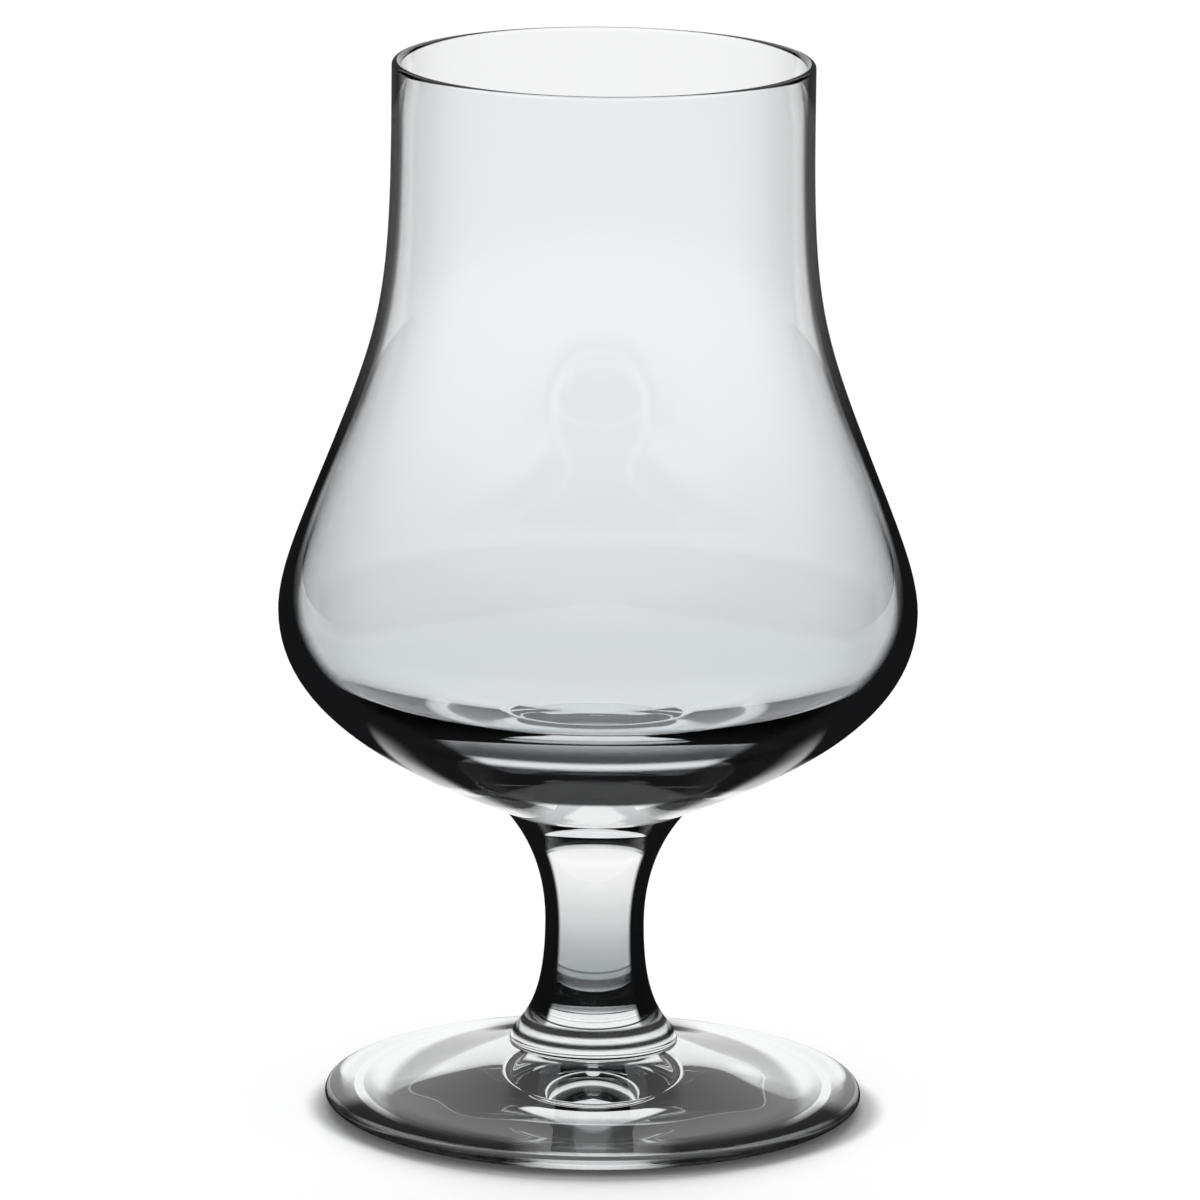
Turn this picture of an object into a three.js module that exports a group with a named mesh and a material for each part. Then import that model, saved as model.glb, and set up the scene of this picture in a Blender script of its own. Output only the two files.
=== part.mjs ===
// A stemmed tulip glass: a blown bowl, a pressed stem and a pressed foot, fused end to end.
// Millimetres, +Z up. The origin is the centre of the ring that the foot stands on.

import * as THREE from 'three';

// Foot. Heights are counted from the surface that the glass stands on.
const FOOT_RADIUS = 33;
const FOOT_HEIGHT = 7.9; // up to the flat seat that the stem is fused to
const FOOT_EDGE_LEVEL = 1.4; // height of the widest place
const FOOT_EDGE_ROUND = 1; // radius of the fire-polished edge above that place
const FOOT_EDGE_UNDER = 4; // how far the edge turns in below it
const FOOT_EDGE_SLOPE = 10; // degrees that the top face falls at the outer edge
const FOOT_EDGE_PULL = 8; // how far the top face keeps that slope
const FOOT_SEAT_SLOPE = 22; // degrees that the top face falls beside the stem
const FOOT_SEAT_PULL = 6;
const REST_RING_WIDTH = 1.2; // flat ring that touches the table
const DOME_HEIGHT = 3; // hollow under the middle of the foot
const DOME_PULL = 3; // width over which the hollow stays level

// Stem. Heights are counted from the foot's seat.
const COLLAR_RADIUS = 10.35; // lower end, fused to the foot
const COLLAR_ROUND = 2.5; // radius of the swelling just above the seat
const COLLAR_LEAN = 42; // degrees that the flare leans in above that swelling
const FLARE_PULL = 3.4;
const WAIST_RADIUS = 6.06;
const WAIST_HEIGHT = 15.1;
const WAIST_LOWER_PULL = 7.5;
const WAIST_UPPER_PULL = 5.5;
const STEM_UPPER_LENGTH = 14.6; // from the waist up to the bowl
const STEM_TOP_RADIUS = 11.4; // upper end, fused to the bowl
const STEM_TOP_LEAN = 42; // degrees that the flare leans out under the bowl
const STEM_TOP_PULL = 5.5;

// Bowl. Each height is counted from the one before it, and the first from the stem's top.
const BASE_RISE = 24; // degrees that the underside climbs from the stem
const BASE_PULL = 16.5;
const BELLY_HEIGHT = 24.7;
const BELLY_RADIUS = 39; // widest place
const BELLY_LOWER_PULL = 11.5;
const BELLY_UPPER_PULL = 4.8;
const SHOULDER_HEIGHT = 20.3; // belly to the place where the wall starts to straighten
const SHOULDER_RADIUS = 32.5;
const SHOULDER_LEAN = 21.3; // degrees that the wall leans in there
const SHOULDER_LOWER_PULL = 10;
const SHOULDER_UPPER_PULL = 15.6;
const NECK_HEIGHT = 41.4; // shoulder to the upright neck
const NECK_PULL = 22.8;
const MOUTH_RADIUS = 25.6;
const LIP_HEIGHT = 6; // upright neck to the top of the lip

// Glass thickness of the bowl
const LIP_WALL = 1.2;
const SHOULDER_WALL = 1.5;
const BELLY_WALL = 2.1;
const BASE_WALL = 11; // solid glass between the stem and the bottom of the drink
const HOLLOW_BELLY_PULL = 12.5; // how long the inside of the wall stays upright below the belly
const HOLLOW_FLOOR_PULL = 18; // how far the inside bottom stays level

// Fineness of the solids
const TURN_STEPS = 48;
const LONG_CURVE_STEPS = 8;
const SHORT_CURVE_STEPS = 4;

const radians = THREE.MathUtils.degToRad;
const QUARTER_TURN = Math.PI / 2;

// A point of an outline: distance from the axis, then height.
const at = (radius, height) => new THREE.Vector2(radius, height);

// The point at a distance from another, in a direction turned up from the outward one.
function reach(from, angle, distance) {
  return at(from.x + distance * Math.cos(angle), from.y + distance * Math.sin(angle));
}

const straight = (from, to) => new THREE.LineCurve(from, to).getPoints(1);

function round(centre, radius, startAngle, endAngle, rise = radius) {
  const arc = new THREE.EllipseCurve(centre.x, centre.y, radius, rise, startAngle, endAngle);
  return arc.getPoints(SHORT_CURVE_STEPS);
}

function sweep(from, fromPull, toPull, to, steps = LONG_CURVE_STEPS) {
  return new THREE.CubicBezierCurve(from, fromPull, toPull, to).getPoints(steps);
}

// Joins runs of points end to end, keeping one point where two runs meet.
function outline(...runs) {
  return runs.flatMap((run, index) => (index === 0 ? run : run.slice(1)));
}

const clearGlass = (color) =>
  new THREE.MeshStandardMaterial({ color, roughness: 0.04, metalness: 0, transparent: true, opacity: 0.35 });

// Turns an outline about the upright axis.
function turned(name, points, color) {
  const geometry = new THREE.LatheGeometry(points, TURN_STEPS);
  geometry.rotateX(QUARTER_TURN);
  const mesh = new THREE.Mesh(geometry, clearGlass(color));
  mesh.name = name;
  return mesh;
}

function makeFoot() {
  const ringOuter = FOOT_RADIUS - FOOT_EDGE_UNDER;
  const ringInner = ringOuter - REST_RING_WIDTH;
  const underCentre = at(ringOuter, FOOT_EDGE_LEVEL);
  const edgeCentre = at(FOOT_RADIUS - FOOT_EDGE_ROUND, FOOT_EDGE_LEVEL);
  const edgeTopAngle = QUARTER_TURN - radians(FOOT_EDGE_SLOPE);
  const edgeTop = reach(edgeCentre, edgeTopAngle, FOOT_EDGE_ROUND);
  const seatEdge = at(COLLAR_RADIUS, FOOT_HEIGHT);

  const dome = sweep(
    at(0, DOME_HEIGHT), at(DOME_PULL, DOME_HEIGHT),
    at(DOME_PULL, DOME_HEIGHT), at(ringInner, 0), SHORT_CURVE_STEPS);
  const restRing = straight(at(ringInner, 0), at(ringOuter, 0));
  const lowerEdge = round(underCentre, FOOT_EDGE_UNDER, -QUARTER_TURN, 0, FOOT_EDGE_LEVEL);
  const upperEdge = round(edgeCentre, FOOT_EDGE_ROUND, 0, edgeTopAngle);
  const topFace = sweep(
    edgeTop, reach(edgeTop, Math.PI - radians(FOOT_EDGE_SLOPE), FOOT_EDGE_PULL),
    reach(seatEdge, -radians(FOOT_SEAT_SLOPE), FOOT_SEAT_PULL), seatEdge);
  const seat = straight(seatEdge, at(0, FOOT_HEIGHT));
  return turned('foot', outline(dome, restRing, lowerEdge, upperEdge, topFace, seat), 0xdfe6e8);
}

function makeStem() {
  const top = WAIST_HEIGHT + STEM_UPPER_LENGTH;
  const collarEdge = at(COLLAR_RADIUS, 0);
  const swellCentre = at(COLLAR_RADIUS - COLLAR_ROUND, 0);
  const swellEnd = reach(swellCentre, radians(COLLAR_LEAN), COLLAR_ROUND);
  const flareAngle = QUARTER_TURN + radians(COLLAR_LEAN);
  const waist = at(WAIST_RADIUS, WAIST_HEIGHT);
  const topEdge = at(STEM_TOP_RADIUS, top);
  const topBackAngle = -QUARTER_TURN - radians(STEM_TOP_LEAN);

  const lowerEnd = straight(at(0, 0), collarEdge);
  const swell = round(swellCentre, COLLAR_ROUND, 0, radians(COLLAR_LEAN));
  const lowerFlare = sweep(
    swellEnd, reach(swellEnd, flareAngle, FLARE_PULL),
    reach(waist, -QUARTER_TURN, WAIST_LOWER_PULL), waist);
  const upperFlare = sweep(
    waist, reach(waist, QUARTER_TURN, WAIST_UPPER_PULL),
    reach(topEdge, topBackAngle, STEM_TOP_PULL), topEdge);
  const upperEnd = straight(topEdge, at(0, top));

  const stem = turned('stem', outline(lowerEnd, swell, lowerFlare, upperFlare, upperEnd), 0xe4eaec);
  stem.position.z = FOOT_HEIGHT;
  return stem;
}

// The wall from the belly up to the neck, with the glass taken off on the inside.
function upperWall(belly, shoulder, neck) {
  const lean = QUARTER_TURN + radians(SHOULDER_LEAN);
  const shoulderBack = lean - Math.PI;
  const lower = sweep(
    belly, reach(belly, QUARTER_TURN, BELLY_UPPER_PULL),
    reach(shoulder, shoulderBack, SHOULDER_LOWER_PULL), shoulder);
  const upper = sweep(
    shoulder, reach(shoulder, lean, SHOULDER_UPPER_PULL),
    reach(neck, -QUARTER_TURN, NECK_PULL), neck);
  return outline(lower, upper);
}

function makeBowl() {
  const shoulderLevel = BELLY_HEIGHT + SHOULDER_HEIGHT;
  const neckLevel = shoulderLevel + NECK_HEIGHT;
  const lipRound = LIP_WALL / 2;
  const lipLevel = neckLevel + LIP_HEIGHT - lipRound;

  const baseEdge = at(STEM_TOP_RADIUS, 0);
  const belly = at(BELLY_RADIUS, BELLY_HEIGHT);
  const shoulder = at(SHOULDER_RADIUS, shoulderLevel);
  const neck = at(MOUTH_RADIUS, neckLevel);
  const innerBelly = at(BELLY_RADIUS - BELLY_WALL, BELLY_HEIGHT);
  const innerShoulder = reach(shoulder, Math.PI + radians(SHOULDER_LEAN), SHOULDER_WALL);
  const innerNeck = at(MOUTH_RADIUS - LIP_WALL, neckLevel);
  const floor = at(0, BASE_WALL);

  const lowerEnd = straight(at(0, 0), baseEdge);
  const underside = sweep(
    baseEdge, reach(baseEdge, radians(BASE_RISE), BASE_PULL),
    reach(belly, -QUARTER_TURN, BELLY_LOWER_PULL), belly);
  const outerWall = upperWall(belly, shoulder, neck);
  const outerLip = straight(neck, at(MOUTH_RADIUS, lipLevel));
  const lip = round(at(MOUTH_RADIUS - lipRound, lipLevel), lipRound, 0, Math.PI);
  const innerLip = straight(at(MOUTH_RADIUS - LIP_WALL, lipLevel), innerNeck);
  const innerWall = upperWall(innerBelly, innerShoulder, innerNeck).reverse();
  const hollowFloor = sweep(
    innerBelly, reach(innerBelly, -QUARTER_TURN, HOLLOW_BELLY_PULL),
    reach(floor, 0, HOLLOW_FLOOR_PULL), floor);

  const bowl = turned(
    'bowl',
    outline(lowerEnd, underside, outerWall, outerLip, lip, innerLip, innerWall, hollowFloor),
    0xeaf0f1);
  bowl.position.z = FOOT_HEIGHT + WAIST_HEIGHT + STEM_UPPER_LENGTH;
  return bowl;
}

const tulipGlass = new THREE.Group();
tulipGlass.add(makeFoot(), makeStem(), makeBowl());

export default tulipGlass;
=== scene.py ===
import math

import bpy
from bpy.props import FloatProperty, FloatVectorProperty, IntProperty, PointerProperty
from mathutils import Matrix, Vector


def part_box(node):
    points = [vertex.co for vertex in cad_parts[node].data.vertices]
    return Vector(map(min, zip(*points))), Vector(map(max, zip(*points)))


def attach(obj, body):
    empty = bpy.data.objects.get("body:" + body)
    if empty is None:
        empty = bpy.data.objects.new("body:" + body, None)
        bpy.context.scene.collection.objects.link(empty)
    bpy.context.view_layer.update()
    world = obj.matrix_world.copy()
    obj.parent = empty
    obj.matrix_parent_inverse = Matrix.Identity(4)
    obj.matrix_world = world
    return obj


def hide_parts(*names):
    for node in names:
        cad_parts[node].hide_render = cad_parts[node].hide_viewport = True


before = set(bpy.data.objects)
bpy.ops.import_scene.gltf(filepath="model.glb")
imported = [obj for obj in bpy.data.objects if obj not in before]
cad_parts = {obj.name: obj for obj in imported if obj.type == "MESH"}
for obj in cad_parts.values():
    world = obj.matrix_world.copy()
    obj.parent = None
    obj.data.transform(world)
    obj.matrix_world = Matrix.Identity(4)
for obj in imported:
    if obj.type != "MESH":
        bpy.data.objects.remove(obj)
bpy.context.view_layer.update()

bl_info = {
    "name": "Tulip Glass",
    "version": (1, 0, 0),
    "blender": (4, 5, 0),
    "location": "View3D > Sidebar > Tulip Glass",
    "description": "Builds a stemmed tulip glass from three fused pieces, with a plain studio round it",
    "category": "Object",
}

# Heights of the two fused seams, from the solids
FOOT_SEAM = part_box("foot")[1][2]
BOWL_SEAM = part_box("stem")[1][2]

QUARTER_TURN = math.pi / 2
UP = Vector((0, 0, 1))
TINY = 1e-6  # points closer than this are one point
SMOOTH_ANGLE = math.radians(30)  # faces that meet at less are shaded as one curve


# Settings


def length(name, description, default):
    return FloatProperty(
        name=name, description=description, default=default, min=0.0, unit="LENGTH", precision=5)


def angle(name, description, degrees):
    return FloatProperty(
        name=name, description=description, default=math.radians(degrees), subtype="ANGLE")


def colour(name, description, default):
    return FloatVectorProperty(
        name=name, description=description, default=default, size=3, min=0.0, max=1.0, subtype="COLOR")


class FootSizes(bpy.types.PropertyGroup):
    radius: length("Radius", "Outer edge of the foot", 0.033)
    edge_round: length("Edge round", "Upper radius of the fire-polished edge", 0.001)
    edge_level: length("Edge level", "Height of the widest place of the edge", 0.0014)
    edge_under: length("Edge under", "How far the edge turns in below", 0.004)
    edge_slope: angle("Edge slope", "Fall of the top face at the edge", 10)
    edge_pull: length("Edge pull", "How far the top face keeps that slope", 0.008)
    seat_slope: angle("Seat slope", "Fall of the top face beside the stem", 22)
    seat_pull: length("Seat pull", "How far the top face keeps that slope", 0.006)
    ring_width: length("Ring width", "Flat ring that touches the table", 0.0012)
    dome_height: length("Dome height", "Hollow under the middle of the foot", 0.003)
    dome_pull: length("Dome pull", "Width over which the hollow stays level", 0.003)


class StemSizes(bpy.types.PropertyGroup):
    collar_radius: length("Collar radius", "Lower end, fused to the foot", 0.01035)
    collar_round: length("Collar round", "Swelling just above the foot", 0.0025)
    collar_lean: angle("Collar lean", "How far the flare leans in above the swelling", 42)
    flare_pull: length("Flare pull", "How long the flare keeps that lean", 0.0034)
    waist_radius: length("Waist radius", "Thinnest place", 0.00606)
    waist_height: length("Waist height", "Waist above the foot", 0.0151)
    waist_lower_pull: length("Waist lower pull", "Upright stretch below the waist", 0.0075)
    waist_upper_pull: length("Waist upper pull", "Upright stretch above the waist", 0.0055)
    top_radius: length("Top radius", "Upper end, fused to the bowl", 0.0114)
    top_lean: angle("Top lean", "How far the flare leans out under the bowl", 42)
    top_pull: length("Top pull", "How long the flare keeps that lean", 0.0055)


class BowlSizes(bpy.types.PropertyGroup):
    base_rise: angle("Base rise", "How steeply the underside climbs from the stem", 24)
    base_pull: length("Base pull", "How far the underside keeps that slope", 0.0165)
    belly_height: length("Belly height", "Belly above the stem", 0.0247)
    belly_radius: length("Belly radius", "Widest place", 0.039)
    belly_lower_pull: length("Belly lower pull", "Upright stretch below the belly", 0.0115)
    belly_upper_pull: length("Belly upper pull", "Upright stretch above the belly", 0.0048)
    shoulder_height: length("Shoulder height", "Shoulder above the belly", 0.0203)
    shoulder_radius: length("Shoulder radius", "Where the wall starts to straighten", 0.0325)
    shoulder_lean: angle("Shoulder lean", "How far the wall leans in at the shoulder", 21.3)
    shoulder_lower_pull: length("Shoulder lower pull", "Straight stretch below the shoulder", 0.01)
    shoulder_upper_pull: length("Shoulder upper pull", "Straight stretch above the shoulder", 0.0156)
    neck_height: length("Neck height", "Upright neck above the shoulder", 0.0414)
    neck_pull: length("Neck pull", "Upright stretch below the neck", 0.0228)
    mouth_radius: length("Mouth radius", "Outside of the lip", 0.0256)
    lip_height: length("Lip height", "Lip above the upright neck", 0.006)
    lip_wall: length("Lip wall", "Thickness of the lip", 0.0012)
    shoulder_wall: length("Shoulder wall", "Thickness at the shoulder", 0.0015)
    belly_wall: length("Belly wall", "Thickness at the belly", 0.0021)
    base_wall: length("Base wall", "Solid glass over the stem", 0.011)
    hollow_belly_pull: length("Hollow belly pull", "Upright stretch inside, below the belly", 0.0125)
    hollow_floor_pull: length("Hollow floor pull", "Level stretch of the inside bottom", 0.018)


class GlassColours(bpy.types.PropertyGroup):
    bowl_high: colour("Bowl, high", "Tint of the bowl near the lip", (0.98, 0.984, 0.99))
    bowl_low: colour("Bowl, low", "Tint of the bowl at its belly", (0.845, 0.87, 0.885))
    pressed: colour(
        "Pressed glass", "Tint of the foot, the collar and the bowl's base", (0.90, 0.915, 0.915))
    stem_high: colour("Stem, high", "Tint of the stem under the bowl", (0.97, 0.975, 0.97))
    # Painted shade: the low stem tint greys the stem down to its collar
    stem_low_painted_shade: colour("Stem, low", "Tint of the stem above its collar", (0.34, 0.37, 0.385))
    # Painted shade: edge is the near black that the glass is mixed with where it is painted dark
    edge: colour("Edge", "Colour of the glass seen edge on", (0.010, 0.010, 0.011))
    floor: colour("Floor", "Colour of the floor", (0.9, 0.9, 0.9))


class TulipGlass(bpy.types.PropertyGroup):
    foot: PointerProperty(type=FootSizes)
    stem: PointerProperty(type=StemSizes)
    bowl: PointerProperty(type=BowlSizes)
    colours: PointerProperty(type=GlassColours)
    turn_steps: IntProperty(name="Turn steps", description="Faces round the glass", default=192)
    curve_steps: IntProperty(name="Curve steps", description="Faces along a long curve", default=28)
    round_steps: IntProperty(name="Round steps", description="Faces round a small edge", default=14)


def settings():
    return bpy.context.scene.tulip_glass


# Outlines: lists of points, each a distance from the axis and a height


def at(radius, height):
    return Vector((radius, height))


def reach(start, turn, distance):
    return start + distance * at(math.cos(turn), math.sin(turn))


def arc(centre, radius, start, end):
    steps = settings().round_steps
    turns = [start + (end - start) * step / steps for step in range(steps + 1)]
    return [reach(centre, turn, radius) for turn in turns]


def sweep(start, start_pull, end_pull, end):
    steps = settings().curve_steps
    points = []
    for step in range(steps + 1):
        along = step / steps
        back = 1.0 - along
        points.append(
            start * back ** 3
            + start_pull * 3 * along * back ** 2
            + end_pull * 3 * along ** 2 * back
            + end * along ** 3)
    return points


def join(*runs):
    points = list(runs[0])
    for run in runs[1:]:
        points.extend(run[1:])
    return points


def foot_outline(size, collar_radius):
    ring_outer = size.radius - size.edge_under
    ring_inner = ring_outer - size.ring_width
    edge_centre = at(size.radius - size.edge_round, size.edge_level)
    edge_turn = QUARTER_TURN - size.edge_slope
    edge_top = reach(edge_centre, edge_turn, size.edge_round)
    seat_edge = at(collar_radius, FOOT_SEAM)

    dome_level = at(size.dome_pull, size.dome_height)
    dome = sweep(at(0, size.dome_height), dome_level, dome_level, at(ring_inner, 0))
    rest_ring = [at(ring_inner, 0), at(ring_outer, 0)]
    lower_edge = [
        at(ring_outer + size.edge_under * point.x, size.edge_level * (1.0 + point.y))
        for point in arc(at(0, 0), 1.0, -QUARTER_TURN, 0)]
    upper_edge = arc(edge_centre, size.edge_round, 0, edge_turn)
    top_face = sweep(
        edge_top, reach(edge_top, math.pi - size.edge_slope, size.edge_pull),
        reach(seat_edge, -size.seat_slope, size.seat_pull), seat_edge)
    seat = [seat_edge, at(0, FOOT_SEAM)]
    return join(dome, rest_ring, lower_edge, upper_edge, top_face, seat)


def stem_outline(size):
    collar_edge = at(size.collar_radius, FOOT_SEAM)
    swell_centre = at(size.collar_radius - size.collar_round, FOOT_SEAM)
    swell_end = reach(swell_centre, size.collar_lean, size.collar_round)
    waist = at(size.waist_radius, FOOT_SEAM + size.waist_height)
    top_edge = at(size.top_radius, BOWL_SEAM)

    lower_end = [at(0, FOOT_SEAM), collar_edge]
    swell = arc(swell_centre, size.collar_round, 0, size.collar_lean)
    lower_flare = sweep(
        swell_end, reach(swell_end, QUARTER_TURN + size.collar_lean, size.flare_pull),
        reach(waist, -QUARTER_TURN, size.waist_lower_pull), waist)
    upper_flare = sweep(
        waist, reach(waist, QUARTER_TURN, size.waist_upper_pull),
        reach(top_edge, -QUARTER_TURN - size.top_lean, size.top_pull), top_edge)
    upper_end = [top_edge, at(0, BOWL_SEAM)]
    return join(lower_end, swell, lower_flare, upper_flare, upper_end)


def upper_wall(size, belly, shoulder, neck):
    lean = QUARTER_TURN + size.shoulder_lean
    lower = sweep(
        belly, reach(belly, QUARTER_TURN, size.belly_upper_pull),
        reach(shoulder, lean - math.pi, size.shoulder_lower_pull), shoulder)
    upper = sweep(
        shoulder, reach(shoulder, lean, size.shoulder_upper_pull),
        reach(neck, -QUARTER_TURN, size.neck_pull), neck)
    return join(lower, upper)


def bowl_outline(size, stem_top_radius):
    belly_level = BOWL_SEAM + size.belly_height
    shoulder_level = belly_level + size.shoulder_height
    neck_level = shoulder_level + size.neck_height
    lip_round = size.lip_wall / 2
    lip_level = neck_level + size.lip_height - lip_round

    base_edge = at(stem_top_radius, BOWL_SEAM)
    belly = at(size.belly_radius, belly_level)
    shoulder = at(size.shoulder_radius, shoulder_level)
    neck = at(size.mouth_radius, neck_level)
    inner_belly = at(size.belly_radius - size.belly_wall, belly_level)
    inner_shoulder = reach(shoulder, math.pi + size.shoulder_lean, size.shoulder_wall)
    inner_neck = at(size.mouth_radius - size.lip_wall, neck_level)
    floor = at(0, BOWL_SEAM + size.base_wall)

    lower_end = [at(0, BOWL_SEAM), base_edge]
    underside = sweep(
        base_edge, reach(base_edge, size.base_rise, size.base_pull),
        reach(belly, -QUARTER_TURN, size.belly_lower_pull), belly)
    outer_wall = upper_wall(size, belly, shoulder, neck)
    outer_lip = [neck, at(size.mouth_radius, lip_level)]
    lip = arc(at(size.mouth_radius - lip_round, lip_level), lip_round, 0, math.pi)
    inner_lip = [at(size.mouth_radius - size.lip_wall, lip_level), inner_neck]
    inner_wall = list(reversed(upper_wall(size, inner_belly, inner_shoulder, inner_neck)))
    hollow_floor = sweep(
        inner_belly, reach(inner_belly, -QUARTER_TURN, size.hollow_belly_pull),
        reach(floor, 0, size.hollow_floor_pull), floor)
    return join(lower_end, underside, outer_wall, outer_lip, lip, inner_lip, inner_wall, hollow_floor)


# Modelling


def deselect_all():
    if bpy.context.mode != "OBJECT":
        bpy.ops.object.mode_set(mode="OBJECT")
    bpy.ops.object.select_all(action="DESELECT")


def draw_outline(name, points):
    """Starts from a small plane, merged to one corner, and draws the outline out of that corner."""
    deselect_all()
    first = points[0]
    bpy.ops.mesh.primitive_plane_add(size=TINY)
    piece = bpy.context.object
    piece.name = name
    piece.data.name = name
    bpy.ops.object.mode_set(mode="EDIT")
    bpy.ops.mesh.select_all(action="SELECT")
    bpy.ops.mesh.merge(type="CENTER")
    bpy.ops.transform.translate(value=(first.x, 0, first.y))
    for here, there in zip(points, points[1:]):
        step = there - here
        bpy.ops.mesh.extrude_vertices_move(TRANSFORM_OT_translate={"value": (step.x, 0, step.y)})
    return piece


def turn_outline(name, points):
    """Spins an outline that starts and ends on the axis into a closed piece of glass."""
    piece = draw_outline(name, points)
    bpy.ops.mesh.select_all(action="SELECT")
    bpy.ops.mesh.spin(
        steps=settings().turn_steps, angle=math.tau, center=(0, 0, 0), axis=(0, 0, 1))
    bpy.ops.mesh.select_all(action="SELECT")
    bpy.ops.mesh.remove_doubles(threshold=TINY)
    bpy.ops.mesh.normals_make_consistent(inside=False)
    bpy.ops.object.mode_set(mode="OBJECT")
    bpy.ops.object.shade_smooth_by_angle(angle=SMOOTH_ANGLE)
    return piece


def mark_faces(piece, name, chosen):
    """Stores which faces a material should treat apart, as a number on each face."""
    mesh = piece.data
    marks = mesh.attributes.new(name, "FLOAT", "FACE")
    for face in mesh.polygons:
        marks.data[face.index].value = 1.0 if chosen(mesh, face) else 0.0


def on_level(*levels):
    """Picks the flat ends that are fused to a neighbour, where light passes straight on."""
    def chosen(mesh, face):
        heights = [mesh.vertices[corner].co.z for corner in face.vertices]
        return any(max(abs(height - level) for height in heights) < TINY for level in levels)
    return chosen


def facing_out(mesh, face):
    """Picks the outer skin of a hollow piece."""
    return face.normal.x * face.center.x + face.normal.y * face.center.y > 0.0


# Shaders

GLASS_IOR = 1.5
NO_HEIGHT = (1.0, 1.0, 0.0)  # times a place, this leaves what is level
EVEN_BLEND = 0.5  # with this, Layer Weight gives one less the cosine of the angle of view
FIRE_POLISHED = 0.0  # roughness


class Wire:
    """A socket that can be used in sums, so that shader maths reads as plain maths."""

    def __init__(self, shader, socket):
        self.shader = shader
        self.socket = socket

    def maths(self, operation, first, second):
        node = self.shader.node(
            "ShaderNodeMath", {"operation": operation}, {0: first, 1: second})
        return Wire(self.shader, node.outputs[0])

    def __add__(self, other):
        return self.maths("ADD", self, other)

    def __radd__(self, other):
        return self.maths("ADD", other, self)

    def __sub__(self, other):
        return self.maths("SUBTRACT", self, other)

    def __rsub__(self, other):
        return self.maths("SUBTRACT", other, self)

    def __mul__(self, other):
        return self.maths("MULTIPLY", self, other)

    def __rmul__(self, other):
        return self.maths("MULTIPLY", other, self)

    def maximum(self, other):
        return self.maths("MAXIMUM", self, other)

    def minimum(self, other):
        return self.maths("MINIMUM", self, other)


class Shader:
    """A node tree that is filled node by node."""

    def __init__(self, tree):
        self.tree = tree
        tree.nodes.clear()

    def node(self, kind, options=None, inputs=None):
        node = self.tree.nodes.new(kind)
        for name, value in (options or {}).items():
            setattr(node, name, value)
        for key, value in (inputs or {}).items():
            self.feed(node.inputs[key], value)
        return node

    def feed(self, socket, value):
        if isinstance(value, Wire):
            self.tree.links.new(value.socket, socket)
        elif isinstance(value, bpy.types.NodeSocket):
            self.tree.links.new(value, socket)
        else:
            socket.default_value = value

    def wire(self, node, output):
        return Wire(self, node.outputs[output])

    def ramp(self, value, low, high, low_value=0.0, high_value=1.0):
        node = self.node(
            "ShaderNodeMapRange", {"interpolation_type": "SMOOTHSTEP"},
            {0: value, 1: low, 2: high, 3: low_value, 4: high_value})
        return self.wire(node, 0)

    def fade(self, value, low, high):
        return self.ramp(value, low, high, 1.0, 0.0)

    def blend(self, factor, first, second):
        node = self.node(
            "ShaderNodeMix", {"data_type": "RGBA"}, {0: factor, 6: first, 7: second})
        return self.wire(node, 2)


def opaque(rgb):
    return (rgb[0], rgb[1], rgb[2], 1.0)


def grey(tone):
    return (tone, tone, tone, 1.0)


def new_material(name):
    material = bpy.data.materials.new(name)
    material.use_nodes = True
    return material, Shader(material.node_tree)


def object_place(shader):
    return shader.node("ShaderNodeTexCoord").outputs["Object"]


def axes(shader, place):
    """The x, y and z of a place or a direction, each by itself."""
    split = shader.node("ShaderNodeSeparateXYZ", inputs={0: place})
    return [shader.wire(split, axis) for axis in "XYZ"]


def height_of(shader, place):
    return axes(shader, place)[2]


def distance(shader, place):
    return shader.wire(shader.node("ShaderNodeVectorMath", {"operation": "LENGTH"}, {0: place}), "Value")


def moved(shader, place, shape, shift):
    """The place stretched and then shifted, so that a round patch becomes a long one to one side."""
    node = shader.node(
        "ShaderNodeVectorMath", {"operation": "MULTIPLY_ADD"}, {0: place, 1: shape, 2: shift})
    return node.outputs[0]


def edge_on(shader, **inputs):
    """0 where the surface is seen square on, 1 where it is seen along itself."""
    layer = shader.node("ShaderNodeLayerWeight", inputs={"Blend": EVEN_BLEND, **inputs})
    return shader.wire(layer, "Facing")


def side_on(shader, place):
    """0 at the front of a turned piece, 1 at its sides, whatever the slope of its outline."""
    level = shader.node("ShaderNodeVectorMath", {"operation": "MULTIPLY"}, {0: place, 1: NO_HEIGHT})
    outward = shader.node("ShaderNodeVectorMath", {"operation": "NORMALIZE"}, {0: level.outputs[0]})
    return edge_on(shader, Normal=outward.outputs[0])


def face_mark(shader, name):
    return shader.wire(shader.node("ShaderNodeAttribute", {"attribute_name": name}), "Fac")


def mix_shaders(shader, factor, first, second):
    return shader.node("ShaderNodeMixShader", inputs={0: factor, 1: first, 2: second}).outputs[0]


def emission(shader, tone):
    return shader.node("ShaderNodeEmission", inputs={"Color": tone, "Strength": 1.0}).outputs[0]


def matt(shader, rgb):
    return shader.node("ShaderNodeBsdfDiffuse", inputs={"Color": opaque(rgb)}).outputs[0]


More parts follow.
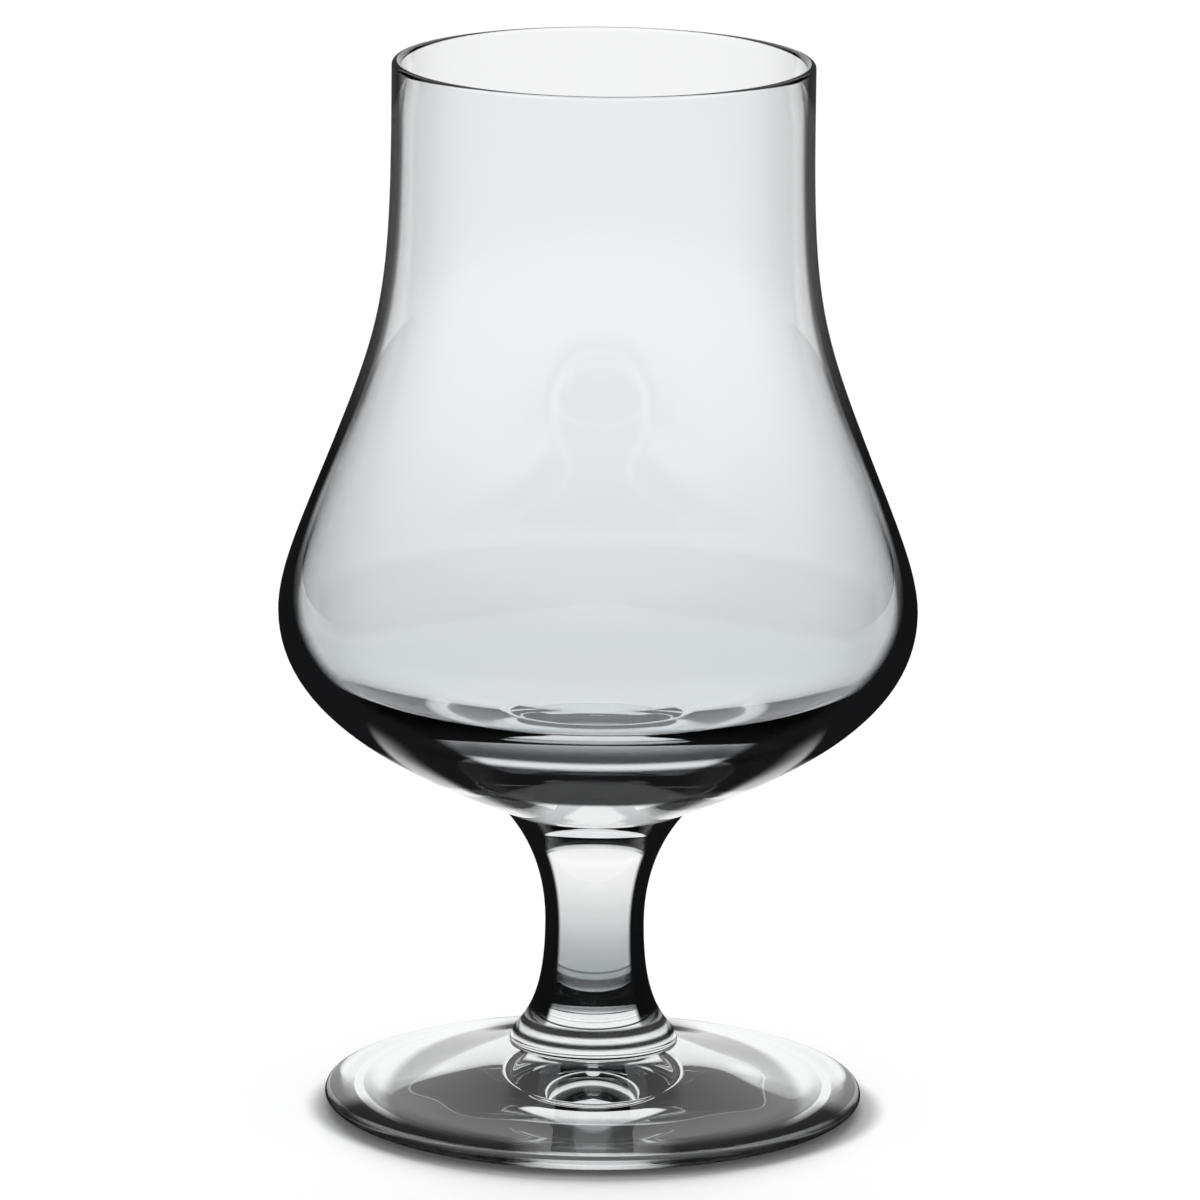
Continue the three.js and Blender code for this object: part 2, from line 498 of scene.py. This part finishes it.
def clear_glass(shader, tint, dark, roughness, ripple, lets_light_past):
    """Clear glass with painted shade, a near black matt mixed in from outside by dark, and absent where two
    pieces are fused.
    """
    bump = shader.node("ShaderNodeBump", inputs={"Strength": 1.0, "Distance": 1.0, "Height": ripple})
    glass = shader.node(
        "ShaderNodeBsdfPrincipled", inputs={
            "Base Color": tint,
            "Roughness": roughness,
            "Normal": bump.outputs[0],
            "IOR": GLASS_IOR,
            "Transmission Weight": 1.0,
        })
    painted_black = matt(shader, settings().colours.edge)
    clear = shader.node("ShaderNodeBsdfTransparent")
    from_outside = 1.0 - shader.wire(shader.node("ShaderNodeNewGeometry"), "Backfacing")
    body = mix_shaders(shader, from_outside * dark, glass.outputs[0], painted_black)
    shadow = shader.wire(shader.node("ShaderNodeLightPath"), "Is Shadow Ray")
    absent = face_mark(shader, "seam").maximum(shadow * lets_light_past)
    fused = mix_shaders(shader, absent, body, clear.outputs[0])
    shader.node("ShaderNodeOutputMaterial", inputs={"Surface": fused})


def ripples(shader, place, stretch, scale, depth):
    """Height of the slow waves that pressing and blowing leave in the glass."""
    squeezed = shader.node("ShaderNodeVectorMath", {"operation": "MULTIPLY"}, {0: place, 1: stretch})
    noise = shader.node(
        "ShaderNodeTexNoise", inputs={"Vector": squeezed.outputs[0], "Scale": scale, "Detail": 0.0})
    return shader.wire(noise, "Fac") * depth


def band(shader, height, bottom, top, softness):
    """1 between two heights, and 0 above and below them."""
    return (shader.ramp(height, bottom - softness, bottom + softness)
            * shader.fade(height, top - softness, top + softness))


# In the spans from here on, a change starts at the first number and ends at the second. Where there
# are four numbers, the last two are the values before and after it. Lengths are in metres

# How much of a lamp's light passes the bowl and the stem, and how much passes the foot
CLEARNESS = 0.95
FOOT_CLEARNESS = 0.0

# Ripples: their stretch along each axis, how close they lie, and their depth
BOWL_RIPPLES = ((1.0, 1.0, 0.4), 60.0, 0.00002)
STEM_RIPPLES = ((1.0, 1.0, 1.0), 120.0, 0.00003)
FOOT_RIPPLES = ((1.0, 1.0, 1.0), 90.0, 0.00006)

# Painted shade: the bowl is painted dark where its wall is seen edge on, above its clear base
BASE_TOP = (0.042, 0.047)
EDGE_LEVEL = (0.044, 0.048)
SHADE_LEVEL = (0.050, 0.062)
BOWL_TINT_SPAN = (0.050, 0.095)
BOWL_EDGE = (0.57, 0.71)
BOWL_THINNING = (0.060, 0.078, 0.0, 0.085)
NECK_THICKENING = (0.078, 0.092, 0.0, 0.045)
BASE_THICKENING = (0.050, 0.070, 0.18, 0.0)
NECK_FADING = (0.080, 0.105, 1.0, 0.93)
BOWL_SHADE_SPAN = (0.2, 0.75)
BOWL_SHADE = 0.17

# Painted shade makes a dark lens in front of the thick base, in place of the dark view that the base
# turns down into the stem. A bright line parts the lens from a painted dark brow above it, which fades
# upwards, and clear glass parts both from the painted dark edge
LENS_LEVEL = (0.0434, 0.0502)
LENS_SIDE = (0.22, 0.30)
LENS_SOFTNESS = 0.0004
LENS_SHADE = 0.93
BROW_START = (0.0508, 0.0515)
BROW_END = (0.0520, 0.0562)
BROW_SIDE = (0.12, 0.26)
BROW_SHADE = 0.92
EDGE_LIFT = (0.38, 0.48, 0.006, 0.0)


def bowl_painted_shade(shader, place, height):
    """Painted shade on the bowl from outside: its dark edge, a soft shade towards it, the lens and the
    brow.
    """
    seen = edge_on(shader)
    side = side_on(shader, place)
    thickness = (shader.ramp(height, *BASE_THICKENING) + shader.ramp(height, *NECK_THICKENING)
                 - shader.ramp(height, *BOWL_THINNING))
    edge_height = height - shader.ramp(side, *EDGE_LIFT)
    edge = (shader.ramp(seen + thickness, *BOWL_EDGE) * shader.ramp(edge_height, *EDGE_LEVEL)
            * shader.ramp(height, *NECK_FADING))
    soft = shader.ramp(seen, *BOWL_SHADE_SPAN) * shader.ramp(height, *SHADE_LEVEL, 0.0, BOWL_SHADE)
    lens = band(shader, height, *LENS_LEVEL, LENS_SOFTNESS) * shader.ramp(side, *LENS_SIDE, LENS_SHADE, 0.0)
    brow = (shader.ramp(height, *BROW_START) * shader.fade(height, *BROW_END)
            * shader.ramp(side, *BROW_SIDE, BROW_SHADE, 0.0))
    return edge.maximum(soft).maximum(lens).maximum(brow) * face_mark(shader, "skin")


def bowl_material():
    colours = settings().colours
    material, shader = new_material("blown_bowl_glass")
    place = object_place(shader)
    height = height_of(shader, place)
    blown = shader.blend(
        shader.ramp(height, *BOWL_TINT_SPAN), opaque(colours.bowl_low), opaque(colours.bowl_high))
    tint = shader.blend(shader.ramp(height, *BASE_TOP), opaque(colours.pressed), blown)
    clear_glass(
        shader, tint, bowl_painted_shade(shader, place, height), FIRE_POLISHED,
        ripples(shader, place, *BOWL_RIPPLES), CLEARNESS)
    return material


# Painted shade: the stem is painted darker towards its sides, whatever the slope of its flare, and more so
# at its top
STEM_EDGE = (0.28, 0.35)
STEM_EDGE_LEVEL = (0.0095, 0.0125)
STEM_TOP_SPREAD = (0.0330, 0.0355, 0.0, 0.08)

# Painted shade: the stem's tint is pale at its top and greyer down to the collar, which is clear with two
# painted dark rings
COLLAR_TOP = (0.0125, 0.0140)
STEM_TINT_SPAN = (0.014, 0.033)
COLLAR_RINGS = ((0.0092, 0.0098), (0.0104, 0.0113))
RING_SOFTNESS = 0.0002
RING_SHADE = 0.95


def stem_material():
    colours = settings().colours
    material, shader = new_material("pressed_stem_glass")
    place = object_place(shader)
    height = height_of(shader, place)
    side = side_on(shader, place) + shader.ramp(height, *STEM_TOP_SPREAD)
    dark = shader.ramp(side, *STEM_EDGE) * shader.ramp(height, *STEM_EDGE_LEVEL)
    for bottom, top in COLLAR_RINGS:
        dark = dark.maximum(band(shader, height, bottom, top, RING_SOFTNESS) * RING_SHADE)
    shank = shader.blend(
        shader.ramp(height, *STEM_TINT_SPAN), opaque(colours.stem_low_painted_shade), opaque(colours.stem_high))
    tint = shader.blend(shader.ramp(height, *COLLAR_TOP), opaque(colours.pressed), shank)
    clear_glass(shader, tint, dark, FIRE_POLISHED, ripples(shader, place, *STEM_RIPPLES), CLEARNESS)
    return material


# Painted shade: the rim of the foot is painted dark, but for a pale place straight in front, and the
# painted dark spreads in a crescent on to the top face where that leans towards the eye
RIM_LEVEL = (0.0015, 0.0023)
RIM_SIDE = (0.03, 0.10)
RIM_SHADE = 0.95
CRESCENT_RADIUS = (0.0285, 0.0310)
CRESCENT_START = (0.45, 0.55)
CRESCENT_END = (0.66, 0.76)
CRESCENT_SIDE = (0.62, 0.80)
CRESCENT_SHADE = 0.92

# The ring that the foot stands on is scuffed
SCUFF_SPAN = (0.00002, 0.0003)
SCUFF_ROUGHNESS = 0.35
SCUFF_GRAIN = {"Scale": 2500.0, "Detail": 3.0}


def foot_painted_shade(shader, place, height):
    """Painted shade on the rim of the foot, seen from outside."""
    seen = edge_on(shader)
    side = side_on(shader, place)
    crescent = (shader.ramp(distance(shader, place), *CRESCENT_RADIUS, 0.0, CRESCENT_SHADE)
                * shader.ramp(seen, *CRESCENT_START) * shader.fade(seen, *CRESCENT_END)
                * shader.fade(side, *CRESCENT_SIDE))
    return shader.ramp(height, *RIM_LEVEL, RIM_SHADE, 0.0).maximum(crescent) * shader.ramp(side, *RIM_SIDE)


def foot_material():
    material, shader = new_material("pressed_foot_glass")
    place = object_place(shader)
    height = height_of(shader, place)
    grain = shader.node("ShaderNodeTexNoise", inputs={"Vector": place, **SCUFF_GRAIN})
    scuffs = shader.ramp(height, *SCUFF_SPAN, SCUFF_ROUGHNESS, 0.0) * shader.wire(grain, "Fac")
    clear_glass(
        shader, opaque(settings().colours.pressed), foot_painted_shade(shader, place, height), scuffs,
        ripples(shader, place, *FOOT_RIPPLES), FOOT_CLEARNESS)
    return material


def finish_piece(piece, node, material):
    piece.data.materials.clear()
    piece.data.materials.append(material)
    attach(piece, "root")
    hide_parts(node)


# Stage

# The camera is fitted to the outline of the glass and to the ellipses of its lip and its foot
CAMERA_PLACE = Vector((0.0, -1.16386, 0.32887))
CAMERA_TARGET = Vector((0.00023, 0.0, 0.06343))
CAMERA_LENS = 293.7  # millimetres, like the sensor
CAMERA_SENSOR = 36.0
CAMERA_ROLL = 0.0112  # radians
CAMERA_REACH = 50.0


def set_view(scene):
    scene.view_settings.view_transform = "Standard"
    forward = (CAMERA_TARGET - CAMERA_PLACE).normalized()
    right = forward.cross(UP).normalized()
    up = right.cross(forward)
    rolled_right = right * math.cos(CAMERA_ROLL) + up * math.sin(CAMERA_ROLL)
    rolled_up = up * math.cos(CAMERA_ROLL) - right * math.sin(CAMERA_ROLL)
    turn = Matrix((rolled_right, rolled_up, -forward)).transposed()
    bpy.ops.object.camera_add()
    camera = bpy.context.object
    camera.matrix_world = Matrix.Translation(CAMERA_PLACE) @ turn.to_4x4()
    camera.data.lens = CAMERA_LENS
    camera.data.sensor_width = CAMERA_SENSOR
    camera.data.clip_end = CAMERA_REACH
    scene.camera = camera


class Rays:
    """The kinds of ray that the room tells apart, each 1 or 0: from the camera, or from the glass,
    and then turned back inside it, mirrored by its outside, or straight through it."""

    def __init__(self, shader):
        path = shader.node("ShaderNodeLightPath")
        self.camera = shader.wire(path, "Is Camera Ray")
        glossy = shader.wire(path, "Is Glossy Ray")
        through = shader.wire(path, "Is Transmission Ray")
        self.glass = glossy.maximum(through) * (1.0 - self.camera)
        reflected = self.glass * shader.wire(path, "Glossy Depth").minimum(1.0)
        entered = shader.wire(path, "Transmission Depth").minimum(1.0)
        self.trapped = reflected * entered
        self.mirrored = reflected * (1.0 - entered)
        self.through = self.glass - reflected


# Reflections show a dark studio with one white window behind the glass, given by half its width in
# radians and by the sine of its upper edge, and a pale light overhead. The floor is dark to rays that
# the outside mirrors, but for the part under the window, and pale near the glass to those turned
# back inside
WINDOW_SIDE = (0.45, 0.60)
WINDOW_TOP = (0.60, 0.70)
OVERHEAD = (0.35, 0.50, 0.0, 0.6)
FLOOR_WINDOW_SIDE = (1.0, 1.4)
ROOM_TONE = 0.01
NEAR_FLOOR = (0.045, 0.07)
NEAR_FLOOR_TONE = 0.05
FAR_FLOOR_TONE = 0.02
TRAPPED_FLOOR = (0.10, 0.30)
TRAPPED_FLOOR_TONE = 0.9

# Painted shade: the floor under the foot glows dark to rays from the glass at a low angle, and under the
# stem to rays turned back inside the glass
SHADE_EDGE = (0.030, 0.0325)
SHADE_SHAPE = (1.25, 1.0, 1.0)
SHADE_SHIFT = (0.0, 0.006, 0.0)
SHADE_ANGLE = (0.08, 0.22)
STEM_SHADE_EDGE = (0.018, 0.026)
FOOT_SHADE_TONE = 0.11
STEM_SHADE_TONE = 0.01

# Painted shadow: the floor's colour is darker close beside the foot
PAINTED_SHADOW_EDGE = (0.0336, 0.0362)
PAINTED_SHADOW_SHAPE = (1.0, 1.12, 1.0)
PAINTED_SHADOW_SHIFT = (-0.0003, 0.0025, 0.0)
PAINTED_SHADOW_TONE = 0.50

FLOOR_SIZE = 8.0
FLOOR_GLOW = 0.06  # for the camera alone, so that the floor comes out white
SKY_TONE = 0.45  # light from all round on matt surfaces


def window(shader, x, y, half_width):
    turn = x.maths("ARCTAN2", x.maths("ABSOLUTE", x, 0.0), y)
    return shader.fade(turn, *half_width)


def seen_floor(shader, rays, place):
    """The floor as the eye sees it, with a painted shadow close beside the foot."""
    away = distance(shader, moved(shader, place, PAINTED_SHADOW_SHAPE, PAINTED_SHADOW_SHIFT))
    open_floor = Vector(settings().colours.floor)
    lit = mix_shaders(
        shader, shader.ramp(away, *PAINTED_SHADOW_EDGE),
        matt(shader, open_floor * PAINTED_SHADOW_TONE), matt(shader, open_floor))
    glow = emission(shader, rays.camera * FLOOR_GLOW)
    return shader.node("ShaderNodeAddShader", inputs={0: lit, 1: glow}).outputs[0]


def floor_in_glass(shader, rays, place):
    """The floor as rays from the glass meet it: a glow of set tones in place of its lit colour, painted
    dark and pale in reflections.
    """
    x, y, _ = axes(shader, place)
    away = distance(shader, place)
    under_window = window(shader, x, y, FLOOR_WINDOW_SIDE) * shader.ramp(away, *NEAR_FLOOR)
    dim = shader.ramp(away, *NEAR_FLOOR, NEAR_FLOOR_TONE, FAR_FLOOR_TONE)
    mirrored = rays.mirrored * dim.maximum(under_window)
    near = shader.ramp(away, *TRAPPED_FLOOR, TRAPPED_FLOOR_TONE, 0.0)
    trapped = rays.trapped * window(shader, x, y, WINDOW_SIDE).maximum(near)
    return emission(shader, rays.through + trapped + mirrored)


def floor_material():
    material, shader = new_material("pale_floor")
    rays = Rays(shader)
    place = object_place(shader)
    floor = mix_shaders(
        shader, rays.glass, seen_floor(shader, rays, place), floor_in_glass(shader, rays, place))
    shade_away = distance(shader, moved(shader, place, SHADE_SHAPE, SHADE_SHIFT))
    painted_foot_shade = shader.fade(shade_away, *SHADE_EDGE) * shader.ramp(edge_on(shader), *SHADE_ANGLE)
    floor = mix_shaders(shader, rays.glass * painted_foot_shade, floor, emission(shader, grey(FOOT_SHADE_TONE)))
    painted_stem_shade = shader.fade(distance(shader, place), *STEM_SHADE_EDGE) * rays.trapped
    floor = mix_shaders(shader, painted_stem_shade, floor, emission(shader, grey(STEM_SHADE_TONE)))
    shader.node("ShaderNodeOutputMaterial", inputs={"Surface": floor})
    return material


def make_floor():
    deselect_all()
    bpy.ops.mesh.primitive_plane_add(size=FLOOR_SIZE)
    floor = bpy.context.object
    floor.name = "floor"
    floor.data.materials.append(floor_material())


def make_world(scene):
    world = bpy.data.worlds.new("studio")
    scene.world = world
    world.use_nodes = True
    shader = Shader(world.node_tree)
    rays = Rays(shader)
    direction = shader.node("ShaderNodeTexCoord").outputs["Generated"]
    x, y, z = axes(shader, direction)
    below_top = shader.fade(z, *WINDOW_TOP)
    pane = window(shader, x, y, WINDOW_SIDE) * below_top.maximum(rays.trapped)
    overhead = rays.mirrored * shader.ramp(z, *OVERHEAD)
    studio = ROOM_TONE + overhead.maximum(pane) * (1.0 - ROOM_TONE)
    sky = (1.0 - rays.camera - rays.glass) * SKY_TONE
    tone = rays.camera + rays.through + (rays.trapped + rays.mirrored) * studio + sky
    room = shader.node("ShaderNodeBackground", inputs={"Color": tone, "Strength": 1.0})
    shader.node("ShaderNodeOutputWorld", inputs={"Surface": room.outputs[0]})


# A broad soft lamp from behind gives the short shadow in front of the foot
LAMP_PLACE = (0.0, 0.90, 0.44)
LAMP_SPREAD = math.radians(40)
LAMP_POWER = 4.55


def make_lamps():
    deselect_all()
    bpy.ops.object.light_add(type="SUN", location=LAMP_PLACE)
    lamp = bpy.context.object
    lamp.name = "soft_lamp"
    lamp.data.angle = LAMP_SPREAD
    lamp.data.energy = LAMP_POWER
    lamp.visible_glossy = False
    lamp.visible_transmission = False
    lamp.rotation_euler = (-lamp.location).to_track_quat("-Z", "Y").to_euler()


# Operators


class BuildFoot(bpy.types.Operator):
    """Turns the pressed foot."""
    bl_idname = "tulip.foot"
    bl_label = "Foot"

    def execute(self, context):
        glass = settings()
        piece = turn_outline("glass_foot", foot_outline(glass.foot, glass.stem.collar_radius))
        mark_faces(piece, "seam", on_level(FOOT_SEAM))
        finish_piece(piece, "foot", foot_material())
        return {"FINISHED"}


class BuildStem(bpy.types.Operator):
    """Turns the pressed stem."""
    bl_idname = "tulip.stem"
    bl_label = "Stem"

    def execute(self, context):
        piece = turn_outline("glass_stem", stem_outline(settings().stem))
        mark_faces(piece, "seam", on_level(FOOT_SEAM, BOWL_SEAM))
        finish_piece(piece, "stem", stem_material())
        return {"FINISHED"}


class BuildBowl(bpy.types.Operator):
    """Turns the blown bowl."""
    bl_idname = "tulip.bowl"
    bl_label = "Bowl"

    def execute(self, context):
        glass = settings()
        piece = turn_outline("glass_bowl", bowl_outline(glass.bowl, glass.stem.top_radius))
        mark_faces(piece, "seam", on_level(BOWL_SEAM))
        mark_faces(piece, "skin", facing_out)
        finish_piece(piece, "bowl", bowl_material())
        return {"FINISHED"}


class BuildStage(bpy.types.Operator):
    """Sets the camera, the floor, the lamps and the world."""
    bl_idname = "tulip.stage"
    bl_label = "Stage"

    def execute(self, context):
        set_view(context.scene)
        make_floor()
        make_world(context.scene)
        make_lamps()
        return {"FINISHED"}


# Panel and registration


class TulipPanel(bpy.types.Panel):
    """Lists the pieces of the glass."""
    bl_idname = "VIEW3D_PT_tulip_glass"
    bl_label = "Tulip Glass"
    bl_space_type = "VIEW_3D"
    bl_region_type = "UI"
    bl_category = "Tulip Glass"

    def draw(self, context):
        for operator in OPERATORS:
            self.layout.operator(operator.bl_idname)


OPERATORS = (BuildFoot, BuildStem, BuildBowl, BuildStage)
CLASSES = (FootSizes, StemSizes, BowlSizes, GlassColours, TulipGlass, *OPERATORS, TulipPanel)


def register():
    for cls in CLASSES:
        bpy.utils.register_class(cls)
    bpy.types.Scene.tulip_glass = PointerProperty(type=TulipGlass)


def unregister():
    del bpy.types.Scene.tulip_glass
    for cls in reversed(CLASSES):
        bpy.utils.unregister_class(cls)


def main():
    register()
    bpy.ops.tulip.stage()
    bpy.ops.tulip.foot()
    bpy.ops.tulip.stem()
    bpy.ops.tulip.bowl()


if __name__ == "__main__":
    main()
